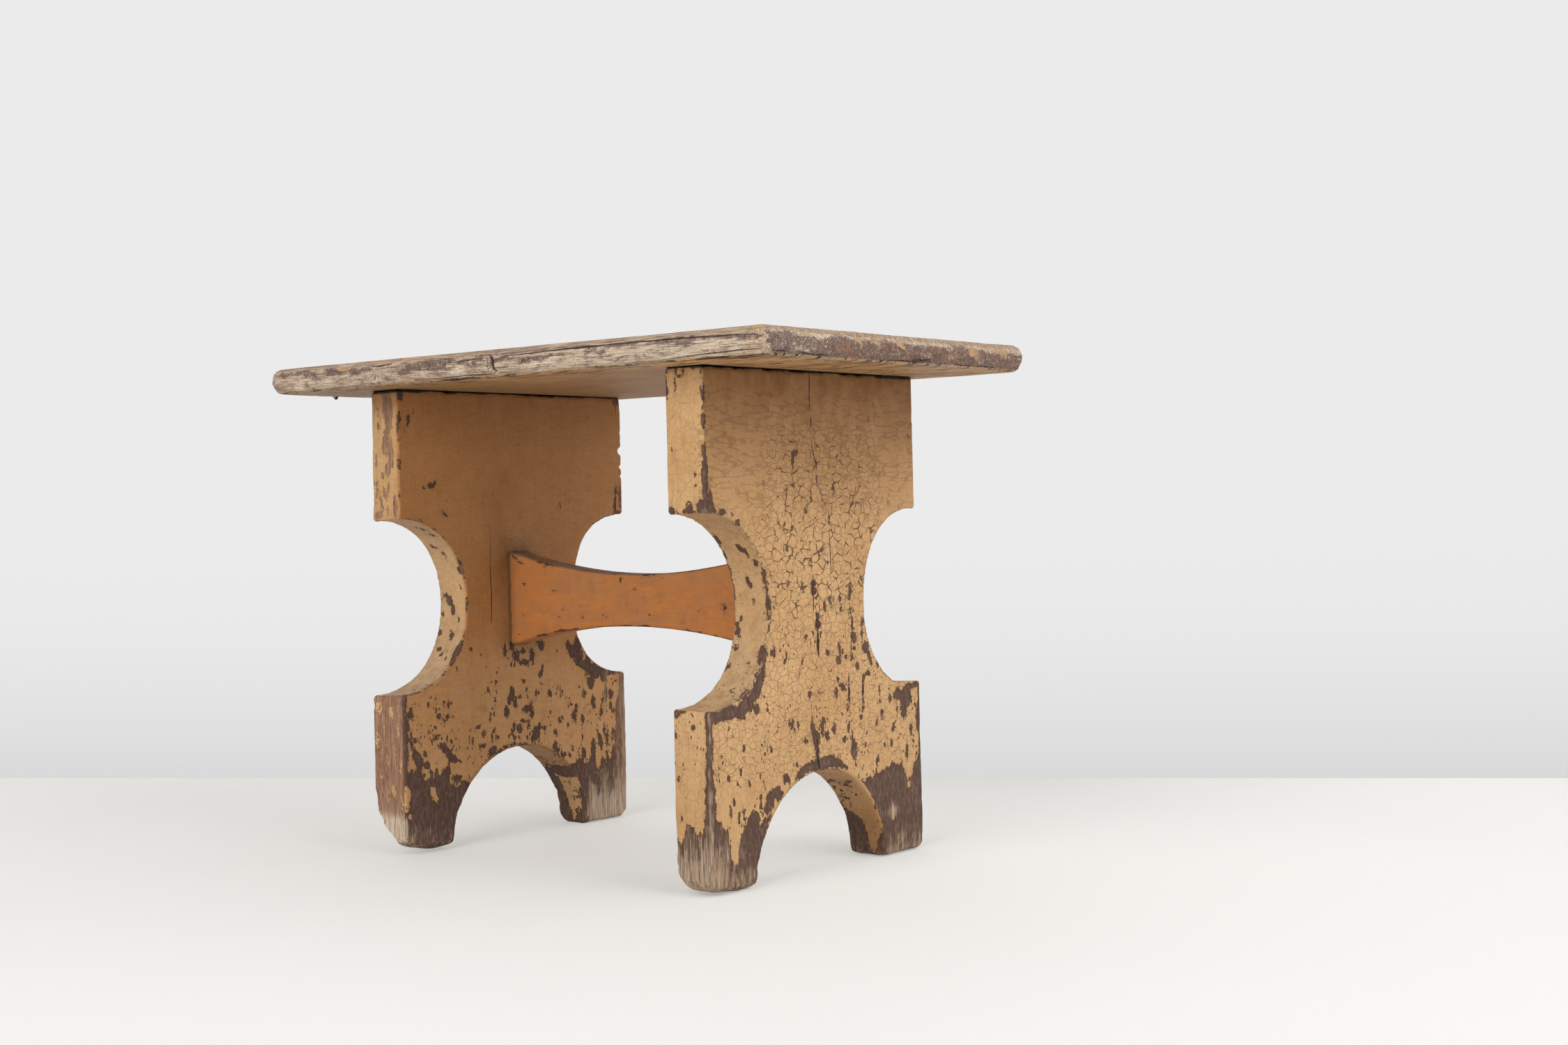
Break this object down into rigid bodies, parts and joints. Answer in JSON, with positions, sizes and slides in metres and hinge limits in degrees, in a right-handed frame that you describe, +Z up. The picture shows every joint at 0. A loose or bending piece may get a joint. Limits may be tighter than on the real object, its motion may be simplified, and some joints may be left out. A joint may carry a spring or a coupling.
{
  "type": "stool",
  "caption": "Low wooden trestle stool: a round-edged seat board nailed on scalloped, arched leg boards that a waisted stretcher holds apart.",
  "frame": {"origin": "on the floor under the middle of the seat, which is the bottom centre of the whole object's box", "axes": "+Z up; +X along the seat's length, from the left leg to the right leg; +Y to the back, so that the front edge of the seat lies at -Y"},
  "size_m": [0.596, 0.364, 0.44],
  "materials": {
    "seat_wood": "weathered bare wood with remains of ochre paint over dark brown",
    "leg_paint": "crackled and flaking matt ochre paint over dark brown, bare and worn at the feet",
    "stretcher_paint": "smooth orange-brown paint with worn dark arrises",
    "nail_iron": "rusted forged iron"
  },
  "bodies": {
    "root": {"seat_board": "seat_wood", "left_leg": "leg_paint", "right_leg": "leg_paint", "stretcher": "stretcher_paint", "left_seat_nail_front": "nail_iron", "left_seat_nail_middle": "nail_iron", "left_seat_nail_back": "nail_iron", "right_seat_nail_front": "nail_iron", "right_seat_nail_middle": "nail_iron", "right_seat_nail_back": "nail_iron", "left_stretcher_nail_upper": "nail_iron", "left_stretcher_nail_lower": "nail_iron", "right_stretcher_nail_upper": "nail_iron", "right_stretcher_nail_lower": "nail_iron"}
  },
  "joints": []
}
